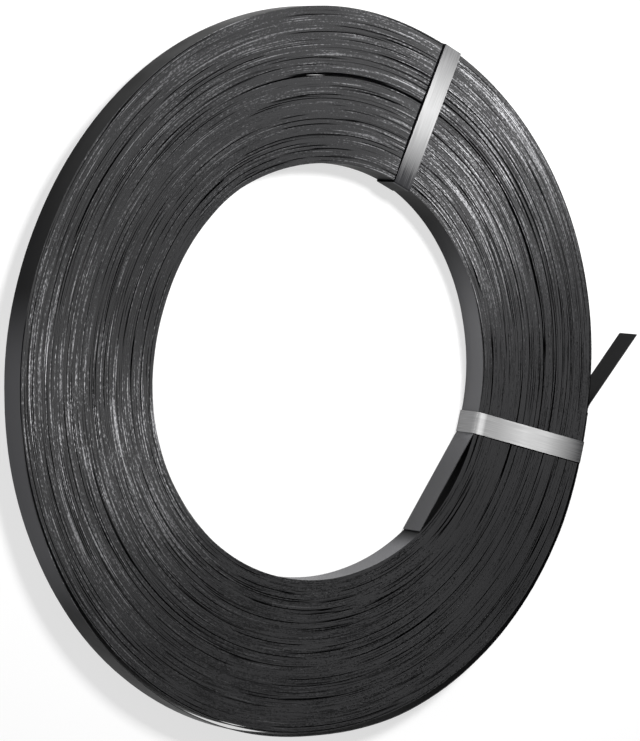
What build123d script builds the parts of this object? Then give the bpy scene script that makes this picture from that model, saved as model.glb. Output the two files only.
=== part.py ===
from build123d import *

import os
from math import cos, radians, sin, sqrt

# A coil of flat steel strapping that lies on one end on the floor, held by two tie straps.
# Millimetres and degrees. +Z is the coil's axis, the floor is z = 0, and angles run
# counter-clockwise from +X seen from above, which is also the way the strapping winds outwards.

# The strapping and the winding
strap_width = 25.4
strap_thickness = 0.89
coil_radius = 344.0
bore_radius = 200.0
turn_count = 157
turn_pitch = (coil_radius - bore_radius) / turn_count

# The ties, cut from a strip a little narrower than the strapping itself
tie_width = 21.5
tie_thickness = 0.6
tie_lap = 17.0
tie_clearance = 0.1

# Direction of each tie across the coil, and how far it runs clockwise of the axis. The first
# tie holds both free ends down.
ties = {
    "first_tie": (107.6, 6.0),
    "second_tie": (187.0, 8.6),
}

# Packs of turns that lie a little higher than the lowest ones: turn number where the pack
# begins, and its lift. The same lift shows on both ends, because all turns are equally wide.
packs = ((0, 0.3), (7, 0.7), (38, 0.4), (59, 0.0), (86, 0.5), (145, 0.3))
pack_lift = max(lift for turn, lift in packs)

# Gaps that stand open between turns on the upper end, by turn number, the one of them that is
# open on the lower end too, and the size of their mouths
gap_turns = (46, 61, 68, 88, 102, 107, 115)
lower_gap_turns = (102,)
gap_width = 1.3
gap_depth = 3.2

# The inner free end springs off the bore wall, straight as a chord, from root to tip
inner_root = 102.5
inner_tip = 69.9
end_overlap = 1.5

# The innermost turn also stands a little off the next one past its tie
slack_start = 110.0
slack_end = 149.0
slack_gap = 1.5
blunt_gap = 0.35

# The last turn stands loose between the ties, and bulges most near the first one: angle, how far
# its outer face stands past the coil's radius, and how far the turns below it have moved out
loose_start = 300.0
loose_end = 464.3
loose_stations = (
    (318.0, 2.2, 0.2),
    (336.0, 3.8, 0.4),
    (354.0, 4.9, 0.5),
    (372.0, 4.6, 0.6),
    (388.0, 3.8, 0.7),
    (401.0, 6.1, 1.6),
    (411.0, 8.7, 3.2),
    (429.0, 10.2, 5.6),
    (442.0, 9.2, 5.5),
    (450.5, 7.3, 4.4),
    (458.0, 3.2, 1.9),
)

# The outer free end is kinked outwards and runs on straight to its tip
tail_root = 113.0
tail_bend = 33.8
tail_bend_radius = 20.0
tail_length = 91.0
tail_clear_turn = 10.0

# Height of the lowest pack above the floor: the coil lies on its ties
lowest = tie_thickness


def at(radius, angle):
    """Point at a distance and an angle from the axis."""
    return Vector(radius * cos(radians(angle)), radius * sin(radians(angle)))


def turn_radius(turn):
    """Radius of the inner face of a turn, counted from the bore."""
    return bore_radius + turn * turn_pitch


def arc_between(radius, start, end):
    """Arc about the axis."""
    return ThreePointArc(at(radius, start), at(radius, (start + end) / 2), at(radius, end))


def spiral_half(start_radius, end_radius, start, end):
    """Arc that follows half a turn of the winding, or less."""
    middle = at((start_radius + end_radius) / 2, (start + end) / 2)
    return ThreePointArc(at(start_radius, start), middle, at(end_radius, end))


def raised(face, lift):
    """Turns of a plan outline, as wide as the strapping and lifted as their pack is."""
    return Pos(0, 0, lowest + lift) * extrude(face, amount=strap_width)


def end_outline(end):
    """Points of the wound section along one end, from the bore outwards. end is 1 or -1."""
    level = lowest + (strap_width if end > 0 else 0)
    gaps = gap_turns if end > 0 else lower_gap_turns
    points = []
    for (turn, lift), (next_turn, next_lift) in zip(packs[1:-1], packs[2:]):
        points.append((turn_radius(turn), level + lift))
        for gap in (gap for gap in gaps if turn < gap < next_turn):
            mouth = turn_radius(gap)
            points.append((mouth - gap_width / 2, level + lift))
            points.append((mouth, level + lift - end * gap_depth))
            points.append((mouth + gap_width / 2, level + lift))
        points.append((turn_radius(next_turn), level + lift))
    return points


def turned_turns():
    """The tightly wound turns, one turned ring with its packs and gaps on both ends."""
    outline = Polyline(end_outline(1) + end_outline(-1)[::-1], close=True)
    return revolve(make_face(Plane.XZ * outline), Axis.Z)


def inner_turns():
    """The innermost turns with the free end that has sprung off the bore wall."""
    next_radius = bore_radius + strap_thickness
    middle_radius = bore_radius + strap_thickness / 2
    opposite = (inner_root + inner_tip) / 2 + 180
    wall = Wire(
        [
            spiral_half(bore_radius, middle_radius, inner_root, opposite),
            spiral_half(middle_radius, next_radius, opposite, inner_tip + 360),
            arc_between(next_radius, inner_tip, inner_root),
            Line(at(next_radius, inner_root), at(bore_radius, inner_root)),
        ]
    )
    root, tip = at(next_radius, inner_root), at(next_radius, inner_tip)
    along = (tip - root).normalized()
    inwards = at(1, (inner_root + inner_tip) / 2) * -1
    root, tip = root - along * end_overlap, tip + along * end_overlap
    free_end = make_face(
        Polyline(
            root,
            tip,
            tip + inwards * strap_thickness,
            root + inwards * strap_thickness,
            close=True,
        )
    )
    slack = make_face(
        Wire(
            [
                arc_between(next_radius, slack_start, slack_end),
                Line(at(next_radius, slack_end), at(next_radius + blunt_gap, slack_end)),
                ThreePointArc(
                    at(next_radius + blunt_gap, slack_end),
                    at(next_radius + slack_gap, (slack_start + slack_end) / 2),
                    at(next_radius + blunt_gap, slack_start),
                ),
                Line(at(next_radius + blunt_gap, slack_start), at(next_radius, slack_start)),
            ]
        )
    )
    next_pack = packs[1][0]
    turns = Circle(turn_radius(next_pack)) - Face(wall) + free_end - slack
    return raised(turns, packs[0][1])


def loose_curve(stations, start_radius, end_radius, start, end):
    """Smooth curve through stations that starts and ends along a circle about the axis."""
    points = [at(start_radius, start)]
    points += [at(radius, angle) for angle, radius in stations]
    points.append(at(end_radius, end))
    return Spline(*points, tangents=[at(1, start + 90), at(1, end + 90)])


def tail_point(face_offset, turn):
    """Point on the bend at the outer end's root. face_offset is 0 on the strap's outer face."""
    centre = at(coil_radius + tail_bend_radius, tail_root)
    return centre + at(tail_bend_radius + face_offset, tail_root + 180 - turn)


def outer_turns():
    """The outermost turns: the last one loose between the ties, and ending in the kinked tail."""
    under = strap_thickness
    root_end = tail_point(0, tail_bend)
    tip = root_end + at(tail_length, tail_root + 90 - tail_bend)
    tip_under = tip + at(under, tail_root + 180 - tail_bend)
    clear = tail_point(under, tail_clear_turn)
    clear_angle = tail_root + (clear - at(coil_radius, tail_root)).length / radians(1) / coil_radius
    step = at(coil_radius - under, clear_angle)
    outline = Wire(
        [
            spiral_half(coil_radius - under, coil_radius, clear_angle, loose_start),
            loose_curve(
                [(angle, coil_radius + out) for angle, out, below in loose_stations],
                coil_radius,
                coil_radius,
                loose_start,
                loose_end,
            ),
            arc_between(coil_radius, loose_end, tail_root + 360),
            ThreePointArc(tail_point(0, 0), tail_point(0, tail_bend / 2), root_end),
            Line(root_end, tip),
            Line(tip, tip_under),
            Line(tip_under, tail_point(under, tail_bend)),
            ThreePointArc(
                tail_point(under, tail_bend),
                tail_point(under, (tail_bend + tail_clear_turn) / 2),
                clear,
            ),
            Line(clear, step),
        ]
    )
    gap_start, gap_end = loose_start + 6, loose_end - 1.5
    gap_outer = loose_curve(
        [(angle, coil_radius - under + out) for angle, out, below in loose_stations],
        coil_radius - under + blunt_gap,
        coil_radius - under + blunt_gap,
        gap_start,
        gap_end,
    )
    gap_inner = loose_curve(
        [(angle, coil_radius - under + below) for angle, out, below in loose_stations],
        coil_radius - under,
        coil_radius - under,
        gap_start,
        gap_end,
    )
    gap = Wire(
        [
            gap_outer,
            Line(gap_outer @ 1, gap_inner @ 1),
            gap_inner,
            Line(gap_inner @ 0, gap_outer @ 0),
        ]
    )
    first_turn, lift = packs[-1]
    turns = Face(outline) - Face(gap) - Circle(turn_radius(first_turn))
    return raised(turns, lift)


def tie(direction, clockwise_shift):
    """A closed tie round the coil's section, with its two ends lapped on the coil's rim."""
    across = clockwise_shift + tie_width / 2
    bore_side = sqrt(bore_radius**2 - across**2) - tie_clearance
    height = strap_width + pack_lift
    middle = (bore_side + coil_radius) / 2
    inner = Rectangle(coil_radius - bore_side, height)
    outer = Rectangle(coil_radius - bore_side + 2 * tie_thickness, height + 2 * tie_thickness)
    outer = fillet(outer.vertices(), tie_thickness)
    lap_place = Pos((coil_radius - bore_side) / 2 + 1.5 * tie_thickness, 0)
    section = outer - inner + lap_place * Rectangle(tie_thickness, tie_lap)
    place = Plane.XZ * Pos(middle, lowest + height / 2)
    band = extrude(place * section, amount=tie_width / 2, both=True)
    return Rot(0, 0, direction) * Pos(0, -clockwise_shift, 0) * band


os.makedirs("parts", exist_ok=True)

coil = turned_turns() + inner_turns() + outer_turns()
export_step(coil, "parts/strap_coil.step")

for name, (direction, clockwise_shift) in ties.items():
    export_step(tie(direction, clockwise_shift), f"parts/{name}.step")
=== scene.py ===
import math

import bmesh
import bpy
import numpy as np
from mathutils import Matrix, Vector, noise


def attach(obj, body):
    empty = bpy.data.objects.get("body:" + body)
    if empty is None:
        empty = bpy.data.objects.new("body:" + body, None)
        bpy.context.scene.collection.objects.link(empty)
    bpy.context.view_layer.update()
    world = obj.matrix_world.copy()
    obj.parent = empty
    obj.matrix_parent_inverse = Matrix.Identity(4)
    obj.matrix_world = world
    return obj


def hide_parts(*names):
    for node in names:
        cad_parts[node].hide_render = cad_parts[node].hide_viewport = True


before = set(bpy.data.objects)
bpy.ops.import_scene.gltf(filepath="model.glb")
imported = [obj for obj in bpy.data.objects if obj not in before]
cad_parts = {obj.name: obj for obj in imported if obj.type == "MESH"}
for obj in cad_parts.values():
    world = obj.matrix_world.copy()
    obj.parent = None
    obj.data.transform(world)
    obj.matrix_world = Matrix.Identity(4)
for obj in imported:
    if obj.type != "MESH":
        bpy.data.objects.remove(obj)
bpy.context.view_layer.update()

# Shapes are worked out in millimetres and degrees, in the frame of the CAD model: the coil lies
# on the floor with its axis on +Z, and the strapping winds outwards counter-clockwise.
MM = 0.001

# The strapping and the winding, as in the CAD model. A pack of turns is the turn where it begins and
# its lift, and the step from one pack to the next takes a little to both sides of that turn.
STRAP_WIDTH = 25.4
STRAP_THICKNESS = 0.89
STRAP_CHAMFER = (0.08, 0.08)
COIL_RADIUS = 344.0
BORE_RADIUS = 200.0
FLOOR_GAP = 0.6
PACKS = ((0, 0.3), (7, 0.7), (38, 0.4), (59, 0.0), (86, 0.5), (145, 0.3))
PACK_LIFT = 0.7
PACK_STEP = 0.3

# The ties: direction across the coil, how far each runs clockwise of the axis, and how far the
# coil, which isn't quite round, pushes it out at the rim and in at the bore
TIES = {"first_tie": (107.6, 7.2, 1.75, 0.0), "second_tie": (187.0, 9.4, -0.12, 1.1)}
TIE_WIDTH = 21.5
TIE_THICKNESS = 0.6
TIE_CHAMFER = (0.12, 0.12)
TIE_CLEARANCE = 0.1
TIE_BEND = 1.2
TIE_STATION = 4.0

# The tie's end laps over its start, which lifts it: overlap, where its step begins before the start
# and how long that is, and how little it sinks into the strip below so that they touch
TIE_LAP = 17.0
LAP_BEFORE, LAP_RAMP, LAP_SINK = 4.0, 3.5, 0.005

# Painted light and shade on each tie, as how light it is drawn: down the bore wall, and elsewhere at
# distances from the bore. It stands in for the reflection along the tie and at its bend, and for
# shade on a run down the bore wall
TIE_LIGHT_AND_SHADE = {
    "first_tie": (
        0.25,
        (
            (0, 0.33), (2.4, 0.4), (3.2, 0.95), (9, 0.9), (12, 0.45), (30, 0.5), (65, 0.86), (95, 0.76),
            (144, 0.04),
        ),
    ),
    "second_tie": (
        -0.5,
        ((0, -0.03), (14, 0.04), (30, 0.22), (60, 0.5), (80, 0.58), (105, 0.45), (144, 0.16)),
    ),
}

# A painted shadow line, black, against one side of each tie, for the shadow the tie casts on the turns:
# on which side, where 1 is counter-clockwise, and how wide. At the bore each line is narrower, and it widens
# over the first stretch outwards.
TIE_SHADOW_LINES = {"first_tie": (-1, 1.0), "second_tie": (1, 2.3)}
TIE_SHADOW_AT_BORE, TIE_SHADOW_WIDENING = 0.7, 35.0

# The two free ends. Angles along the winding count on from turn to turn. The inner end's straight
# stretch is laid from a little past its tip to a little before its root.
INNER_ROOT = 102.5
INNER_TIP = 69.9
INNER_SHARES = (-0.015, 0.96)
OUTER_ROOT = 113.0 + 156 * 360
TAIL_BEND = 33.8
TAIL_BEND_RADIUS = 20.0
TAIL_LENGTH = 91.0

# The coil isn't quite round. Angle, and how far the bore wall stands out from its true circle
BORE_STATIONS = np.array(
    (
        (120, -0.3), (132, -1.4), (150, -1.6), (174, -1.0), (187, -1.0), (198, -2.0), (210, -3.2),
        (222, -2.2), (234, -0.5), (243, 1.2), (252, 0.5), (264, -0.2), (282, -1.8), (300, -1.1), (315, 0.0),
        (330, -0.5), (354, -1.1), (378, -2.6), (390, -2.5), (406, -1.7), (422, 0.2), (430, 1.3), (466, 0.2),
        (480, -0.3),
    )
)

# The same for the outer turns below the last one
RIM_STATIONS = np.array(
    (
        (118, 1.6), (126, 1.7), (144, 1.0), (162, -0.15), (192, -0.15), (200, 0.9), (210, 2.0), (222, 1.7),
        (240, 1.4), (252, 0.8), (264, 0.0), (276, -0.2), (288, 0.6), (300, 0.9), (324, 0.6), (372, 0.6),
        (390, 0.8), (402, 1.6), (412, 3.2), (427, 5.6), (441, 5.6), (451, 4.4), (459, 2.4), (467, 1.5),
        (478, 1.6),
    )
)

# The bore's shape fades outwards over its turns, and the rim's inwards from its first turn on
BORE_FADE_TURNS, RIM_FADE_FIRST, RIM_FADE_TURNS, FADE_POWER = 60, 104, 50, 1.4

# The last turn stands loose between the ties: angle, and how far it stands past the coil's radius
LOOSE_STATIONS = np.array(
    (
        (306, 1.0), (312, 2.0), (324, 2.9), (336, 4.1), (346, 4.8), (354, 4.9), (366, 4.85), (378, 4.5),
        (387, 3.9), (392, 3.8), (396, 4.9), (402, 6.5), (408, 8.6), (420, 9.8), (432, 10.3), (441, 9.4),
        (450, 7.9), (456, 5.8), (462, 3.6), (468, 1.6), (473, 0.9),
    )
)

# The turn below it has sprung off the pack a little too
SECOND_STATIONS = np.array(((312, 0.0), (330, 0.3), (350, 0.9), (400, 0.9), (412, 0.3), (427, 0.0)))

# The innermost turns have slipped outwards: how far, first and last turn, angle, angle it runs on for
SLIP, SLIP_FIRST, SLIP_LAST, SLIP_START, SLIP_RUN = 1.5, 0.9, 9, 110, 39

# Gaps between turns: turn, angle where it opens, angle that it runs on for, width
GAPS = (
    (46, 112, 95, 0.4),
    (61, 116, 90, 0.4),
    (68, 110, 105, 0.5),
    (82, 306, 70, 0.6),
    (88, 104, 140, 1.0),
    (90, 108, 118, 0.5),
    (102, 108, 112, 0.6),
    (105, 78, 70, 0.6),
    (107, 106, 118, 0.6),
    (115, 107, 112, 0.6),
)

# How unevenly the turns lie, in millimetres: groups that stand proud together, single turns, groups
# that have sunk, single low turns, and the deepest that any turn lies
GROUP_RISE, SINGLE_RISE, SUNK_DROP, LOW_DROP = 0.24, 0.3, 0.75, 0.5
DEEPEST = -0.5

# The size of those stretches: for groups in turns and as a share of the way round, and for single
# turns in degrees along the winding. Then the noise past which turns sink, and how sharply they do.
GROUP_TURNS, GROUP_ROUND, SUNK_TURNS, SUNK_ROUND = 1.3, 1.4, 0.9, 1.7
SINGLE_RUN, LOW_RUN = 45, 16
SUNK_OVER, LOW_OVER, SUNK_SHARPNESS = 0.3, 0.28, 5

# How much more, or less, the edges are worn round the coil: angle, and amount. This is partly
# wear and partly painted light and shade, so the edges are drawn barer and lighter in some
# directions and darker in others
WEAR_AND_LIGHT_STATIONS = np.array(
    (
        (120, -0.15), (140, 0.03), (160, -0.03), (180, -0.02), (200, -0.12), (220, -0.06), (240, 0.06),
        (260, -0.05), (280, -0.18), (300, -0.12), (320, -0.08), (340, 0.0), (360, 0.02), (380, 0.0),
        (415, -0.1), (440, -0.3), (460, -0.25), (480, -0.15),
    )
)

# Turns rubbed brighter, or sunk lower, which paints them black as painted shade: turn, turns each
# way, angle, angle that it runs on for, how much. Each is gone at 1.4 times its turns each way, and at its
# full strength up to 0.4 of them.
RUBBED_AND_SUNK = (
    (143, 4, 138, 45, 0.3),
    (142, 2, 268, 44, 0.25),
    (47, 2, 282, 60, 0.3),
    (104, 3, 110, 120, -0.15),
    (155.1, 1.3, 92, 92, -1.0),
    (88.9, 1.0, 196, 30, -0.6),
)
RUB_REACH = 1.4

# The bore wall's painted light, measured along the strip from the inner free end's tip: how far
# it runs and how long it takes to fade out there, and where the free end, on which it is weaker, turns into
# it
BORE_LIGHT_RUN, BORE_LIGHT_FADE = 1225.0, 30.0
FREE_END_RUN = (60.0, 160.0)

# Directions: the side of the bore that gets the least painted light, and where the last turn has a
# painted highlight
BORE_SHADED_SIDE = 195
RIM_HIGHLIGHT_SIDE = 314

# The ties hold the turns beside them up: no turn sinks below the lowest pack within the first number
# of degrees from a tie, and past it a turn may lie a millimetre deeper for each second number of them
HELD_WITHIN, HELD_SLOPE = 4.0, 8.0

# Degrees between stations of the winding, and how many degrees a line through the stations above is
# smoothed over, which is odd
STEP = 2.0
SMOOTHING = 11
FIRST_RADIUS = BORE_RADIUS + STRAP_THICKNESS / 2
LAST_RADIUS = COIL_RADIUS - STRAP_THICKNESS / 2
WOUND_TURNS = (OUTER_ROOT - INNER_ROOT) / 360
SLACK = LAST_RADIUS - FIRST_RADIUS - WOUND_TURNS * STRAP_THICKNESS

# Sockets of a Mix node that mixes colours
FACTOR, COLOUR_A, COLOUR_B, MIXED = 0, 6, 7, 2


def polar(radius, angle):
    return np.array([radius * math.cos(math.radians(angle)), radius * math.sin(math.radians(angle))])


def linear(hex_colour):
    """An sRGB hex colour in linear light."""
    parts = [int(hex_colour[i : i + 2], 16) / 255 for i in (1, 3, 5)]
    return tuple(p / 12.92 if p <= 0.04045 else ((p + 0.055) / 1.055) ** 2.4 for p in parts) + (1.0,)


def add(owner, kind, settings=None, links=None):
    """Adds a node to a material or the world, with its settings and links. A key is a socket's name
    or number, or a property. A link comes from a socket, or from the first output of a node."""
    tree = owner.node_tree
    node = tree.nodes.new(kind)
    for key, value in (settings or {}).items():
        if isinstance(key, int) or key in node.inputs:
            node.inputs[key].default_value = value
        else:
            setattr(node, key, value)
    for key, source in (links or {}).items():
        tree.links.new(source.outputs[0] if isinstance(source, bpy.types.Node) else source, node.inputs[key])
    return node


def new_material(name):
    material = bpy.data.materials.new(name)
    material.use_nodes = True
    material.node_tree.nodes.clear()
    return material


def around_the_axis(material):
    """Object position, unit direction outwards from the axis, and distance from it in metres."""
    place = add(material, "ShaderNodeTexCoord").outputs["Object"]
    flat = add(material, "ShaderNodeVectorMath", {"operation": "MULTIPLY", 1: (1, 1, 0)}, {0: place})
    outwards = add(material, "ShaderNodeVectorMath", {"operation": "NORMALIZE"}, {0: flat})
    distance = add(material, "ShaderNodeVectorMath", {"operation": "LENGTH"}, {0: flat})
    return place, outwards, distance.outputs["Value"]


def streaks(material, outwards, distance, length, width, detail, seed):
    """Noise drawn out along the turns. length and width are the size of a streak in mm."""
    middle = (COIL_RADIUS + BORE_RADIUS) / 2
    round_it = add(material, "ShaderNodeVectorMath", {"operation": "SCALE", "Scale": middle / length},
        {0: outwards})
    out = add(material, "ShaderNodeMath", {"operation": "MULTIPLY_ADD", 1: 1 / (width * MM), 2: seed},
        {0: distance})
    up = add(material, "ShaderNodeCombineXYZ", links={"Z": out})
    spot = add(material, "ShaderNodeVectorMath", {"operation": "ADD"}, {0: round_it, 1: up})
    return add(material, "ShaderNodeTexNoise", {"Scale": 1.0, "Detail": detail, "Roughness": 0.6},
        {"Vector": spot})


def along_the_strip(material, length, detail, seed):
    """Noise along the strip itself, so that each turn has its own. length is a streak's, in mm."""
    along = add(material, "ShaderNodeAttribute", {"attribute_name": "along"}).outputs["Fac"]
    at = add(material, "ShaderNodeMath", {"operation": "MULTIPLY_ADD", 1: 1 / (length * MM), 2: seed},
        {0: along})
    return add(material, "ShaderNodeTexNoise", {"noise_dimensions": "1D", "Scale": 1.0, "Detail": detail,
        "Roughness": 0.6}, {"W": at})


# Baked black enamel on the strap's faces, under a film of wax: smooth and nearly matt. The innermost
# turn is painted lighter up to where its free end covers it, which is painted light on the bore wall,
# less on the side that faces away from the light, and less on the free end itself. The last turn has
# a painted highlight on one side of the rim.
def black_enamel():
    material = new_material("black_enamel")
    place, outwards, distance = around_the_axis(material)
    along = add(material, "ShaderNodeAttribute", {"attribute_name": "along"}).outputs["Fac"]
    # Clouds in the wax film, about 45 mm across, which is 22 to the metre
    cloud = add(material, "ShaderNodeTexNoise", {"Scale": 22.0, "Detail": 3.0}, {"Vector": place})
    colour = add(material, "ShaderNodeMix", {"data_type": "RGBA", COLOUR_A: linear("#0d0d0e"),
        COLOUR_B: linear("#151516")}, {FACTOR: cloud}).outputs[MIXED]

    # Painted highlight on one side of the last turn's rim
    facing_rim_light = add(material, "ShaderNodeVectorMath", {"operation": "DOT_PRODUCT",
        1: (*polar(1, RIM_HIGHLIGHT_SIDE), 0)}, {0: outwards}).outputs["Value"]
    rim_light_side = add(material, "ShaderNodeMapRange", {"interpolation_type": "SMOOTHSTEP", "From Min": 0.89,
        "From Max": 0.98}, {"Value": facing_rim_light})
    last_turn = add(material, "ShaderNodeMapRange", {"interpolation_type": "SMOOTHSTEP",
        "From Min": (COIL_RADIUS - 3) * MM, "From Max": (COIL_RADIUS - 1) * MM}, {"Value": distance})
    rim_light = add(material, "ShaderNodeMath", {"operation": "MULTIPLY"}, {0: last_turn, 1: rim_light_side})
    colour = add(material, "ShaderNodeMix", {"data_type": "RGBA", COLOUR_B: linear("#48484a")},
        {FACTOR: rim_light, COLOUR_A: colour}).outputs[MIXED]

    # Painted light on the bore wall: the first turn is drawn lighter, least on the side that faces away from
    # the light, and less on the free end
    facing_bore_shade = add(material, "ShaderNodeVectorMath", {"operation": "DOT_PRODUCT",
        1: (*polar(1, BORE_SHADED_SIDE), 0)}, {0: outwards}).outputs["Value"]
    bore_lit_side = add(material, "ShaderNodeMapRange", {"interpolation_type": "SMOOTHSTEP", "From Min": 0.45,
        "From Max": 0.95, "To Min": 1.0, "To Max": 0.0}, {"Value": facing_bore_shade})
    first_turn = add(material, "ShaderNodeMapRange", {"interpolation_type": "SMOOTHSTEP",
        "From Min": BORE_LIGHT_RUN * MM, "From Max": (BORE_LIGHT_RUN + BORE_LIGHT_FADE) * MM, "To Min": 1.0,
        "To Max": 0.0}, {"Value": along})
    weaker_on_free_end = add(material, "ShaderNodeMapRange", {"interpolation_type": "SMOOTHSTEP",
        "From Min": FREE_END_RUN[0] * MM, "From Max": FREE_END_RUN[1] * MM, "To Min": 0.6}, {"Value": along})
    bore_light = add(material, "ShaderNodeMath", {"operation": "MULTIPLY"}, {0: first_turn, 1: bore_lit_side})
    bore_light = add(material, "ShaderNodeMath", {"operation": "MULTIPLY"}, {0: bore_light, 1: weaker_on_free_end})
    colour = add(material, "ShaderNodeMix", {"data_type": "RGBA", COLOUR_B: linear("#6c6c6e")},
        {FACTOR: bore_light, COLOUR_A: colour}).outputs[MIXED]

    rough = add(material, "ShaderNodeMapRange", {"interpolation_type": "SMOOTHSTEP", "From Min": 0.3,
        "From Max": 0.7, "To Min": 0.36, "To Max": 0.46}, {"Value": cloud})
    shader = add(material, "ShaderNodeBsdfPrincipled", {"Specular IOR Level": 0.05},
        {"Base Color": colour, "Roughness": rough})
    add(material, "ShaderNodeOutputMaterial", links={"Surface": shader})
    return material


def out_of_tie_shadows(material, place):
    """0 in the painted shadow line against one side of each tie, and 1 elsewhere."""
    clear = None
    for name, (side, width) in TIE_SHADOW_LINES.items():
        direction, clockwise_shift = TIES[name][:2]
        past = add(material, "ShaderNodeVectorMath", {"operation": "DOT_PRODUCT",
            1: (*polar(side, direction + 90), 0)}, {0: place}).outputs["Value"]
        along = add(material, "ShaderNodeVectorMath", {"operation": "DOT_PRODUCT",
            1: (*polar(1, direction), 0)}, {0: place}).outputs["Value"]
        near = TIE_WIDTH / 2 - side * clockwise_shift
        reach = add(material, "ShaderNodeMapRange", {"interpolation_type": "SMOOTHSTEP",
            "From Min": BORE_RADIUS * MM, "From Max": (BORE_RADIUS + TIE_SHADOW_WIDENING) * MM,
            "To Min": (near + TIE_SHADOW_AT_BORE) * MM, "To Max": (near + width) * MM}, {"Value": along})
        outside = add(material, "ShaderNodeMath", {"operation": "GREATER_THAN"}, {0: past, 1: reach})
        before = add(material, "ShaderNodeMath", {"operation": "LESS_THAN", 1: near * MM}, {0: past})
        opposite = add(material, "ShaderNodeMath", {"operation": "LESS_THAN", 1: 0.0}, {0: along})
        here = add(material, "ShaderNodeMath", {"operation": "MAXIMUM"}, {0: outside, 1: before})
        here = add(material, "ShaderNodeMath", {"operation": "MAXIMUM"}, {0: here, 1: opposite})
        clear = here if clear is None else add(material, "ShaderNodeMath", {"operation": "MULTIPLY"},
            {0: clear, 1: here})
    return clear


# The strap's slit edges: enamel rubbed thin over sheared steel. Shearing leaves marks along the
# edge, so the turns together shine like a brushed disc, in two arms. Turns that stand proud are
# rubbed bare. Turns that have sunk are painted black, which is painted shade in their recess, and a
# black line against each tie is a painted shadow. How bare and how light the edges are round the
# coil is partly wear and partly painted light and shade. The grain of the real edge is finer than
# the 4 mm here, which is as coarse as it needs to be to show.
def slit_edge():
    material = new_material("slit_edge")
    place, outwards, distance = around_the_axis(material)
    proud = add(material, "ShaderNodeAttribute", {"attribute_name": "proud"}).outputs["Fac"]
    wear = add(material, "ShaderNodeAttribute", {"attribute_name": "wear"}).outputs["Fac"]
    dash = along_the_strip(material, 110.0, 3.0, 0.0)
    grain = along_the_strip(material, 4.0, 1.0, 31.7)
    pack = streaks(material, outwards, distance, 180.0, 0.9, 1.0, 61.2)
    # How bare the edges are: partly wear and partly painted light and shade round the coil
    worn_and_lit = add(material, "ShaderNodeMath", {"operation": "MULTIPLY_ADD", 1: 0.6}, {0: proud, 2: wear})
    for pattern, weight in ((dash, 1.5), (grain, 0.7), (pack, 0.45)):
        worn_and_lit = add(material, "ShaderNodeMath", {"operation": "MULTIPLY_ADD", 1: weight},
            {0: pattern, 2: worn_and_lit})

    # Painted shadow: a black line against one side of each tie
    clear = out_of_tie_shadows(material, place)
    # Painted shade: turns that have sunk are drawn black
    unshaded = add(material, "ShaderNodeMapRange", {"interpolation_type": "SMOOTHSTEP", "From Min": -0.75,
        "From Max": -0.35}, {"Value": proud})
    unshaded = add(material, "ShaderNodeMath", {"operation": "MULTIPLY"}, {0: unshaded, 1: clear})
    bare = add(material, "ShaderNodeMapRange", {"interpolation_type": "SMOOTHSTEP", "From Min": 1.2,
        "From Max": 1.88}, {"Value": worn_and_lit})
    bare = add(material, "ShaderNodeMath", {"operation": "MULTIPLY"}, {0: bare, 1: unshaded})
    # The enamel's tone round the coil: partly wear and partly painted light and shade
    worn_and_lit_tone = add(material, "ShaderNodeMapRange", {"From Min": -0.3, "From Max": -0.05}, {"Value": wear})

    colour = add(material, "ShaderNodeMix", {"data_type": "RGBA", COLOUR_A: linear("#313132"),
        COLOUR_B: linear("#3b3b3c")}, {FACTOR: worn_and_lit_tone}).outputs[MIXED]
    colour = add(material, "ShaderNodeMix", {"data_type": "RGBA", COLOUR_A: linear("#070708")},
        {FACTOR: unshaded, COLOUR_B: colour}).outputs[MIXED]
    colour = add(material, "ShaderNodeMix", {"data_type": "RGBA", COLOUR_B: linear("#9a9a9c")},
        {FACTOR: bare, COLOUR_A: colour}).outputs[MIXED]

    # Painted shade on sunk turns and the painted shadow beside the ties are black with no gloss at all,
    # which a metal of that colour gives
    shining = add(material, "ShaderNodeMapRange", {"From Max": 0.12}, {"Value": bare})
    glossless = add(material, "ShaderNodeMapRange", {"To Min": 1.0, "To Max": 0.0}, {"Value": unshaded})
    metal = add(material, "ShaderNodeMath", {"operation": "MAXIMUM"}, {0: shining, 1: glossless})
    shader = add(material, "ShaderNodeBsdfPrincipled",
        {"Specular IOR Level": 0.15, "Roughness": 0.52, "Anisotropic": 0.8, "Anisotropic Rotation": 0.25},
        {"Base Color": colour, "Metallic": metal, "Tangent": outwards})
    add(material, "ShaderNodeOutputMaterial", links={"Surface": shader})
    return material
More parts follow.
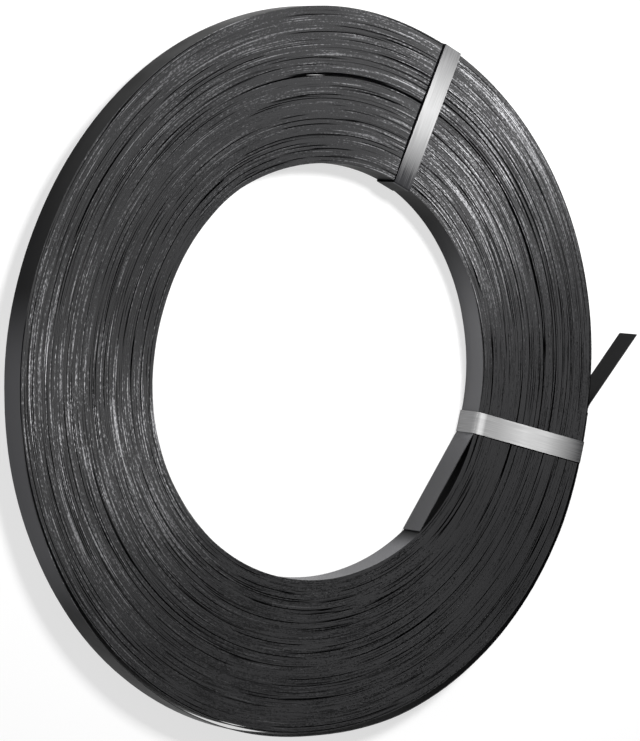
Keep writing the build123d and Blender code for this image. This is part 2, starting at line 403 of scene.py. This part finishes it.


# The ties: zinc coated steel strip, rolled with a fine lengthwise grain, which is drawn a little
# coarser than the real one so that it shows. Light and shade are painted along it: grey towards its
# bends and lighter where it catches the light, which is a painted highlight, and the run down one
# bore wall black, which is painted shade. The sheared sides are dark, which is partly painted shade
# along the tie's sides.
def zinc_strip():
    material = new_material("zinc_strip")
    shine = add(material, "ShaderNodeAttribute", {"attribute_name": "shine"}).outputs["Fac"]
    across = add(material, "ShaderNodeAttribute", {"attribute_name": "across"}).outputs["Fac"]
    along = add(material, "ShaderNodeAttribute", {"attribute_name": "along"}).outputs["Fac"]
    grain_width, grain_length = 0.7 * MM, 45.0 * MM
    line = add(material, "ShaderNodeMath", {"operation": "DIVIDE", 1: grain_width}, {0: across})
    run = add(material, "ShaderNodeMath", {"operation": "DIVIDE", 1: grain_length}, {0: along})
    spot = add(material, "ShaderNodeCombineXYZ", links={"X": line, "Y": run})
    grain = add(material, "ShaderNodeTexNoise", {"Scale": 1.0, "Detail": 2.0}, {"Vector": spot})
    bright = add(material, "ShaderNodeMath", {"operation": "MULTIPLY_ADD", 1: 0.3}, {0: grain, 2: shine})

    # Painted light and shade along the tie: lighter in its middle and at a bend, black on one bore-wall run
    lit_share = add(material, "ShaderNodeMapRange", {"From Min": 0.15, "From Max": 1.15}, {"Value": bright})
    colour = add(material, "ShaderNodeMix", {"data_type": "RGBA", COLOUR_A: linear("#39393b"),
        COLOUR_B: linear("#f2f2f2")}, {FACTOR: lit_share}).outputs[MIXED]
    unshaded_tie = add(material, "ShaderNodeMapRange", {"interpolation_type": "SMOOTHSTEP", "From Min": -0.4,
        "From Max": 0.1}, {"Value": bright})
    colour = add(material, "ShaderNodeMix", {"data_type": "RGBA", COLOUR_A: linear("#070708")},
        {FACTOR: unshaded_tie, COLOUR_B: colour}).outputs[MIXED]
    # The dark sheared sides are partly painted shade along the tie's sides
    off_middle = add(material, "ShaderNodeMath", {"operation": "ABSOLUTE"}, {0: across})
    sheared = add(material, "ShaderNodeMapRange", {"interpolation_type": "SMOOTHSTEP",
        "From Min": (TIE_WIDTH / 2 - 0.1) * MM, "From Max": (TIE_WIDTH / 2 - 0.03) * MM},
        {"Value": off_middle})
    colour = add(material, "ShaderNodeMix", {"data_type": "RGBA", COLOUR_B: linear("#0c0c0d")},
        {FACTOR: sheared, COLOUR_A: colour}).outputs[MIXED]

    rough = add(material, "ShaderNodeMapRange", {"interpolation_type": "SMOOTHSTEP", "From Min": 0.3,
        "From Max": 0.7, "To Min": 0.38, "To Max": 0.5}, {"Value": grain})
    coated = add(material, "ShaderNodeMapRange", {"interpolation_type": "SMOOTHSTEP", "From Min": -0.4,
        "From Max": 0.1, "To Max": 0.45}, {"Value": bright})
    metal = add(material, "ShaderNodeMath", {"operation": "MAXIMUM"}, {0: coated, 1: sheared})
    shader = add(material, "ShaderNodeBsdfPrincipled", {"Specular IOR Level": 0.05},
        {"Base Color": colour, "Roughness": rough, "Metallic": metal})
    add(material, "ShaderNodeOutputMaterial", links={"Surface": shader})
    return material


enamel = black_enamel()
edge = slit_edge()
zinc = zinc_strip()


def noise_line(*columns):
    columns = np.broadcast_arrays(*columns)
    return np.array([noise.noise(Vector(v)) for v in np.stack(columns, 1)])


def hump(angle, start, run):
    """1 in the middle of a stretch of angles, falling smoothly to 0 at its ends."""
    along = np.clip(np.mod(angle - start, 360) / run, 0, 1)
    return np.sin(math.pi * along) ** 0.6 * (np.mod(angle - start, 360) < run)


def through(stations, angle):
    """Smooth line through stations of angle and amount, read off at every angle."""
    first = stations[0, 0]
    fine = np.arange(first, stations[-1, 0] + 1)
    kernel = np.hanning(SMOOTHING) / np.hanning(SMOOTHING).sum()
    padded = np.pad(np.interp(fine, stations[:, 0], stations[:, 1]), SMOOTHING // 2, mode="edge")
    return np.interp(np.mod(angle - first, 360) + first, fine, np.convolve(padded, kernel, "valid"))


def wound_radius(phi, turn, theta):
    """Distance of the strip's middle from the axis along the winding, and how much lower a turn lies
    beside a gap. phi is the angle along the winding, turn the same in turns, theta the direction."""
    opened, outside, beside = np.zeros((3, len(phi)))
    for gap_turn, start, run, width in GAPS:
        here = width * hump(theta, start, run)
        past = (phi - start) / 360 - gap_turn
        opened += here
        outside += here * (past >= 0)
        beside -= here * ((past >= -1) & (past < 0))
    radius = FIRST_RADIUS + STRAP_THICKNESS * turn + turn / WOUND_TURNS * (SLACK - opened) + outside
    radius += through(BORE_STATIONS, theta) * np.clip(1 - turn / BORE_FADE_TURNS, 0, 1) ** FADE_POWER
    near_rim = np.clip((turn - RIM_FADE_FIRST) / RIM_FADE_TURNS, 0, 1)
    radius += through(RIM_STATIONS, theta) * near_rim ** FADE_POWER
    loose = np.where(theta < LOOSE_STATIONS[0, 0] - 1, theta + 360, theta)
    is_loose = (phi > OUTER_ROOT - 360 + 180) & (loose < LOOSE_STATIONS[-1, 0])
    nominal = FIRST_RADIUS + (LAST_RADIUS - FIRST_RADIUS) * turn / WOUND_TURNS
    radius = np.where(is_loose, nominal + through(LOOSE_STATIONS, loose), radius)
    is_second = (phi < OUTER_ROOT - 180) & (phi > OUTER_ROOT - 540) & (loose < SECOND_STATIONS[-1, 0])
    radius += np.where(is_second, through(SECOND_STATIONS, loose), 0)
    slipped = SLIP * (1 - turn / SLIP_LAST) * hump(theta, SLIP_START, SLIP_RUN)
    radius += np.where((turn > SLIP_FIRST) & (turn < SLIP_LAST), slipped, 0)
    return radius, beside


def wound_path():
    """Middle of the strip along the winding, with its outward direction, its rise and how far it
    stands proud of its neighbours."""
    phi = np.append(np.arange(INNER_ROOT, OUTER_ROOT, STEP), OUTER_ROOT)
    turn = (phi - INNER_ROOT) / 360
    theta = np.mod(phi, 360)
    radius, beside = wound_radius(phi, turn, theta)
    knots, lifts = [], []
    for (first, lift), (next_first, _) in zip(PACKS, PACKS[1:] + ((WOUND_TURNS + 2, 0),)):
        knots += [first + PACK_STEP, next_first - PACK_STEP]
        lifts += [lift, lift]
    round_x, round_y = np.cos(np.radians(theta)), np.sin(np.radians(theta))
    group = noise_line(turn / GROUP_TURNS, round_x * GROUP_ROUND, round_y * GROUP_ROUND)
    single = noise_line(phi / SINGLE_RUN, 3.1, 0.0)
    sunk = noise_line(turn / SUNK_TURNS + 40, round_x * SUNK_ROUND, round_y * SUNK_ROUND)
    sunk = np.clip((sunk - SUNK_OVER) * SUNK_SHARPNESS, 0, 1)
    low_turn = np.clip((noise_line(phi / LOW_RUN, 7.7, 1.3) - LOW_OVER) * SUNK_SHARPNESS, 0, 1)
    proud = GROUP_RISE * group + SINGLE_RISE * single - SUNK_DROP * sunk - LOW_DROP * low_turn + beside
    # Rubbed turns stand prouder; sunk ones lie lower, and the slit edge paints them black as painted shade
    for marked_turn, turns, start, run, strength in RUBBED_AND_SUNK:
        near_turn = np.clip(RUB_REACH - abs(turn - marked_turn) / turns, 0, 1)
        proud += strength * near_turn * hump(theta, start, run)

    lowest = np.full_like(phi, DEEPEST)
    for direction, *_ in TIES.values():
        from_tie = np.abs(np.mod(theta - direction + 180, 360) - 180)
        lowest = np.maximum(lowest, (HELD_WITHIN - from_tie) / HELD_SLOPE)
    rise = np.clip(np.interp(turn, knots, lifts) + proud, np.minimum(lowest, 0), PACK_LIFT)
    facing = np.stack([round_x, round_y], 1)
    return facing * radius[:, None], facing, rise, proud


def inner_end():
    """Straight stretch from the inner free end's tip to its root."""
    middle = polar(1, (INNER_ROOT + INNER_TIP) / 2)
    reach = BORE_RADIUS + STRAP_THICKNESS
    tip = polar(reach, INNER_TIP) - middle * STRAP_THICKNESS / 2
    root = polar(reach, INNER_ROOT) - middle * STRAP_THICKNESS / 2
    place = tip + (root - tip) * np.linspace(*INNER_SHARES, 14)[:, None]
    return place, np.repeat(middle[None], len(place), 0)


def outer_end():
    """The kink at the outer free end's root, and the straight stretch to its tip."""
    root = OUTER_ROOT % 360
    centre = polar(COIL_RADIUS + TAIL_BEND_RADIUS, root)
    place, facing = [], []
    for turn in np.linspace(0, TAIL_BEND, 8)[1:]:
        side = polar(1, root + 180 - turn)
        place.append(centre + side * (TAIL_BEND_RADIUS + STRAP_THICKNESS / 2))
        facing.append(-side)
    bent, bent_facing = place[-1], facing[-1]
    ahead = polar(1, root + 90 - TAIL_BEND)
    for share in np.linspace(0, 1, 10)[1:]:
        place.append(bent + ahead * TAIL_LENGTH * share)
        facing.append(bent_facing)
    return np.array(place), np.array(facing)


def laid_strip(name, place, outward, sideways, width, thickness, chamfer, materials, slot, node, **marks):
    """A strip with broken edges along a path: a grid that is rolled up to the strip's section and
    laid on the path. place, outward and sideways have a row for each station, and each mark is a
    value for each station, which the materials read."""
    across, up = thickness / 2, width / 2
    flat = across - chamfer[0]
    section = np.array(
        (
            (-across, chamfer[1] - up), (-flat, -up), (flat, -up), (across, chamfer[1] - up),
            (across, up - chamfer[1]), (flat, up), (-flat, up), (-across, up - chamfer[1]),
            (-across, chamfer[1] - up),
        )
    )
    steps = len(place) - 1
    bm = bmesh.new()
    bmesh.ops.create_grid(bm, x_segments=len(section) - 1, y_segments=steps, size=1)
    co = np.array([v.co for v in bm.verts])
    corner = np.rint((co[:, 0] + 1) / 2 * (len(section) - 1)).astype(int)
    station = np.rint((co[:, 1] + 1) / 2 * steps).astype(int)
    out, side = section[corner].T
    co = place[station] + outward[station] * out[:, None] + sideways[station] * side[:, None]
    marks = {mark: values[station] for mark, values in marks.items()}
    for mark, values in (marks | {"across": side * MM}).items():
        layer = bm.verts.layers.float.new(mark)
        for vert, value in zip(bm.verts, values):
            vert[layer] = value
    for vert, spot in zip(bm.verts, co * MM):
        vert.co = spot
    for face in bm.faces:
        face.smooth = True
    bmesh.ops.remove_doubles(bm, verts=bm.verts, dist=1e-6)
    bmesh.ops.holes_fill(bm, edges=[e for e in bm.edges if e.is_boundary], sides=0)
    bmesh.ops.recalc_face_normals(bm, faces=bm.faces)
    if len(materials) > 1:
        # The second material is on the faces that look up or down
        for face in bm.faces:
            face.material_index = abs(face.normal.z) > 0.4
    mesh = bpy.data.meshes.new(name)
    bm.to_mesh(mesh)
    bm.free()
    for material in materials:
        mesh.materials.append(material)
    # The broken edges turn by 45 degrees and stay crisp
    mesh.set_sharp_from_angle(angle=math.radians(44.5))
    piece = bpy.data.objects.new(name, mesh)
    bpy.context.scene.collection.objects.link(piece)
    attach(piece, "root")
    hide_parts(node)


def strapping():
    """All the turns and both free ends, in three stretches that follow on from each other, so that
    none has too many triangles."""
    place, facing, rise, proud = wound_path()
    start_place, start_facing = inner_end()
    end_place, end_facing = outer_end()
    flat = np.concatenate([start_place, place, end_place])
    facing = np.concatenate([start_facing, facing, end_facing])
    rise = np.pad(rise, (len(start_place), len(end_place)), mode="edge")
    proud = np.pad(proud, (len(start_place), len(end_place)), mode="edge")
    # Wear and painted light and shade, by direction round the coil
    wear = through(WEAR_AND_LIGHT_STATIONS, np.degrees(np.arctan2(flat[:, 1], flat[:, 0])))
    along = np.append(0, np.cumsum(np.linalg.norm(np.diff(flat, axis=0), axis=1))) * MM
    place = np.column_stack([flat, FLOOR_GAP + STRAP_WIDTH / 2 + rise])
    outward = np.column_stack([facing, np.zeros(len(facing))])
    upward = np.tile((0.0, 0.0, 1.0), (len(place), 1))
    cuts = np.linspace(0, len(place) - 1, 4).astype(int)
    for name, first, last in zip(("inner_turns", "middle_turns", "outer_turns"), cuts, cuts[1:]):
        span = slice(first, last + 1)
        laid_strip(name, place[span], outward[span], upward[span], STRAP_WIDTH, STRAP_THICKNESS,
            STRAP_CHAMFER, (enamel, edge), "strapping", "strap_coil", along=along[span], proud=proud[span],
            wear=wear[span])


def tie_section(near, far, low, high):
    """Middle of the tie's strip round the coil's section, as distance from the axis and height, and
    the direction in which it faces at each point."""
    middle = (low + high) / 2
    lap_start = middle - TIE_LAP / 2
    points, normals = [(far, lap_start)], [(1, 0)]
    for number, (x, z) in enumerate(((far, high), (near, high), (near, low), (far, low))):
        start = 90 * number
        inset_x = math.copysign(TIE_BEND, x - (near + far) / 2)
        inset_z = math.copysign(TIE_BEND, z - middle)
        centre = np.array((x - inset_x, z - inset_z))
        last, first = points[-1], centre + polar(TIE_BEND, start)
        steps = max(2, int(math.dist(last, first) / TIE_STATION))
        for k in range(1, steps):
            share = k / steps
            points.append((last[0] + (first[0] - last[0]) * share, last[1] + (first[1] - last[1]) * share))
            normals.append(polar(1, start))
        for angle in np.linspace(start, start + 90, 7):
            points.append(centre + polar(TIE_BEND, angle))
            normals.append(polar(1, angle))
    for share in np.linspace(0, 1, 12)[1:]:
        z = low + TIE_BEND + (middle + TIE_LAP / 2 - low - TIE_BEND) * share
        step = np.clip((z - (lap_start - LAP_BEFORE)) / LAP_RAMP, 0, 1)
        points.append((far + (TIE_THICKNESS - LAP_SINK) * step * step * (3 - 2 * step), z))
        normals.append((1, 0))
    return np.array(points), np.array(normals)


def tie(name, direction, clockwise_shift, rim_out, bore_in, wall_shine, shine_stations):
    """A tie round the coil's section. It starts on the rim, runs up it, over the turns, down the
    bore wall, back underneath and up the rim again, where its end laps over its start."""
    across = clockwise_shift + TIE_WIDTH / 2
    half = TIE_THICKNESS / 2
    near = math.sqrt(BORE_RADIUS**2 - across**2) - TIE_CLEARANCE - half - bore_in
    far = COIL_RADIUS + half + rim_out
    low, high = FLOOR_GAP - half, FLOOR_GAP + STRAP_WIDTH + PACK_LIFT + half
    points, normals = tie_section(near, far, low, high)
    radial = np.append(polar(1, direction), 0)
    side = np.append(polar(1, direction + 90), 0)
    upward = np.array((0.0, 0.0, 1.0))
    along = np.append(0, np.cumsum(np.linalg.norm(np.diff(points, axis=0), axis=1))) * MM
    # Painted light and shade along the tie, and on its run down the bore wall
    shine = np.interp(points[:, 0] - near, *np.transpose(shine_stations))
    shine = np.where((points[:, 0] < near + TIE_BEND) & (points[:, 1] < high - TIE_BEND), wall_shine, shine)
    place = points[:, :1] * radial + points[:, 1:] * upward - side * clockwise_shift
    outward = normals[:, :1] * radial + normals[:, 1:] * upward
    sideways = np.tile(side, (len(place), 1))
    laid_strip(name + "_band", place, outward, sideways, TIE_WIDTH, TIE_THICKNESS, TIE_CHAMFER,
        (zinc,), "tie", name, along=along, shine=shine)


strapping()
for name, shape in TIES.items():
    tie(name, *shape, *TIE_LIGHT_AND_SHADE[name])


# Floor: matt white, shown to the camera and in reflections a little lighter than it is lit
bm = bmesh.new()
bmesh.ops.create_grid(bm, x_segments=1, y_segments=1, size=6)
floor_mesh = bpy.data.meshes.new("floor")
bm.to_mesh(floor_mesh)
bm.free()
floor = bpy.data.objects.new("floor", floor_mesh)
bpy.context.scene.collection.objects.link(floor)
white = new_material("white_floor")
ways = add(white, "ShaderNodeLightPath").outputs
seen = add(white, "ShaderNodeMath", {"operation": "ADD", "use_clamp": True},
    {0: ways["Is Camera Ray"], 1: ways["Is Glossy Ray"]})
glow = add(white, "ShaderNodeMath", {"operation": "MULTIPLY", 1: 0.66}, {0: seen})
matt = add(white, "ShaderNodeBsdfPrincipled", {"Base Color": linear("#acacac"), "Roughness": 0.9,
    "Specular IOR Level": 0.0, "Emission Color": linear("#ffffff")}, {"Emission Strength": glow})
add(white, "ShaderNodeOutputMaterial", links={"Surface": matt})
floor_mesh.materials.append(white)

# Camera, fitted to the photograph: it looks down on the coil and is turned on its side
LENS = 176.15
AIM = Vector((1.303, -4.838, 26.3))
DISTANCE = 3430.6
AZIMUTH, ELEVATION, ROLL = 25.205, 51.303, 96.133
turn = (
    Matrix.Rotation(math.radians(AZIMUTH), 4, "Z")
    @ Matrix.Rotation(math.radians(90 - ELEVATION), 4, "X")
    @ Matrix.Rotation(math.radians(ROLL), 4, "Z")
)
camera_data = bpy.data.cameras.new("camera")
camera_data.lens = LENS
camera = bpy.data.objects.new("camera", camera_data)
bpy.context.scene.collection.objects.link(camera)
camera.matrix_world = Matrix.Translation((AIM + turn.to_3x3() @ Vector((0, 0, DISTANCE))) * MM) @ turn
bpy.context.scene.camera = camera


def lamp(name, angle, height, distance, size, power):
    """A square soft box that faces the coil. angle and height are seen from the coil's middle, and
    distance and size are in metres."""
    data = bpy.data.lights.new(name, "AREA")
    data.shape = "SQUARE"
    data.size = size
    data.energy = power
    light = bpy.data.objects.new(name, data)
    flat = polar(math.cos(math.radians(height)), angle)
    place = Vector((flat[0], flat[1], math.sin(math.radians(height)))) * distance
    light.matrix_world = Matrix.Translation(place) @ place.to_track_quat("Z", "Y").to_matrix().to_4x4()
    bpy.context.scene.collection.objects.link(light)


lamp("key", 180.1, 53.5, 1.35, 0.34, 24)
lamp("side_fill", 305, 9, 2.8, 0.8, 36)

# The room is bright near the floor and dim above
world = bpy.data.worlds.new("world")
world.use_nodes = True
background = world.node_tree.nodes["Background"]
background.inputs["Color"].default_value = (1, 1, 1, 1)
way = add(world, "ShaderNodeTexCoord").outputs["Generated"]
height = add(world, "ShaderNodeSeparateXYZ", links={0: way}).outputs["Z"]
strength = add(world, "ShaderNodeMapRange", {"interpolation_type": "SMOOTHSTEP", "From Min": 0.03,
    "From Max": 0.3, "To Min": 1.0, "To Max": 0.07}, {"Value": height})
world.node_tree.links.new(strength.outputs[0], background.inputs["Strength"])
bpy.context.scene.world = world
bpy.context.scene.view_settings.view_transform = "Standard"
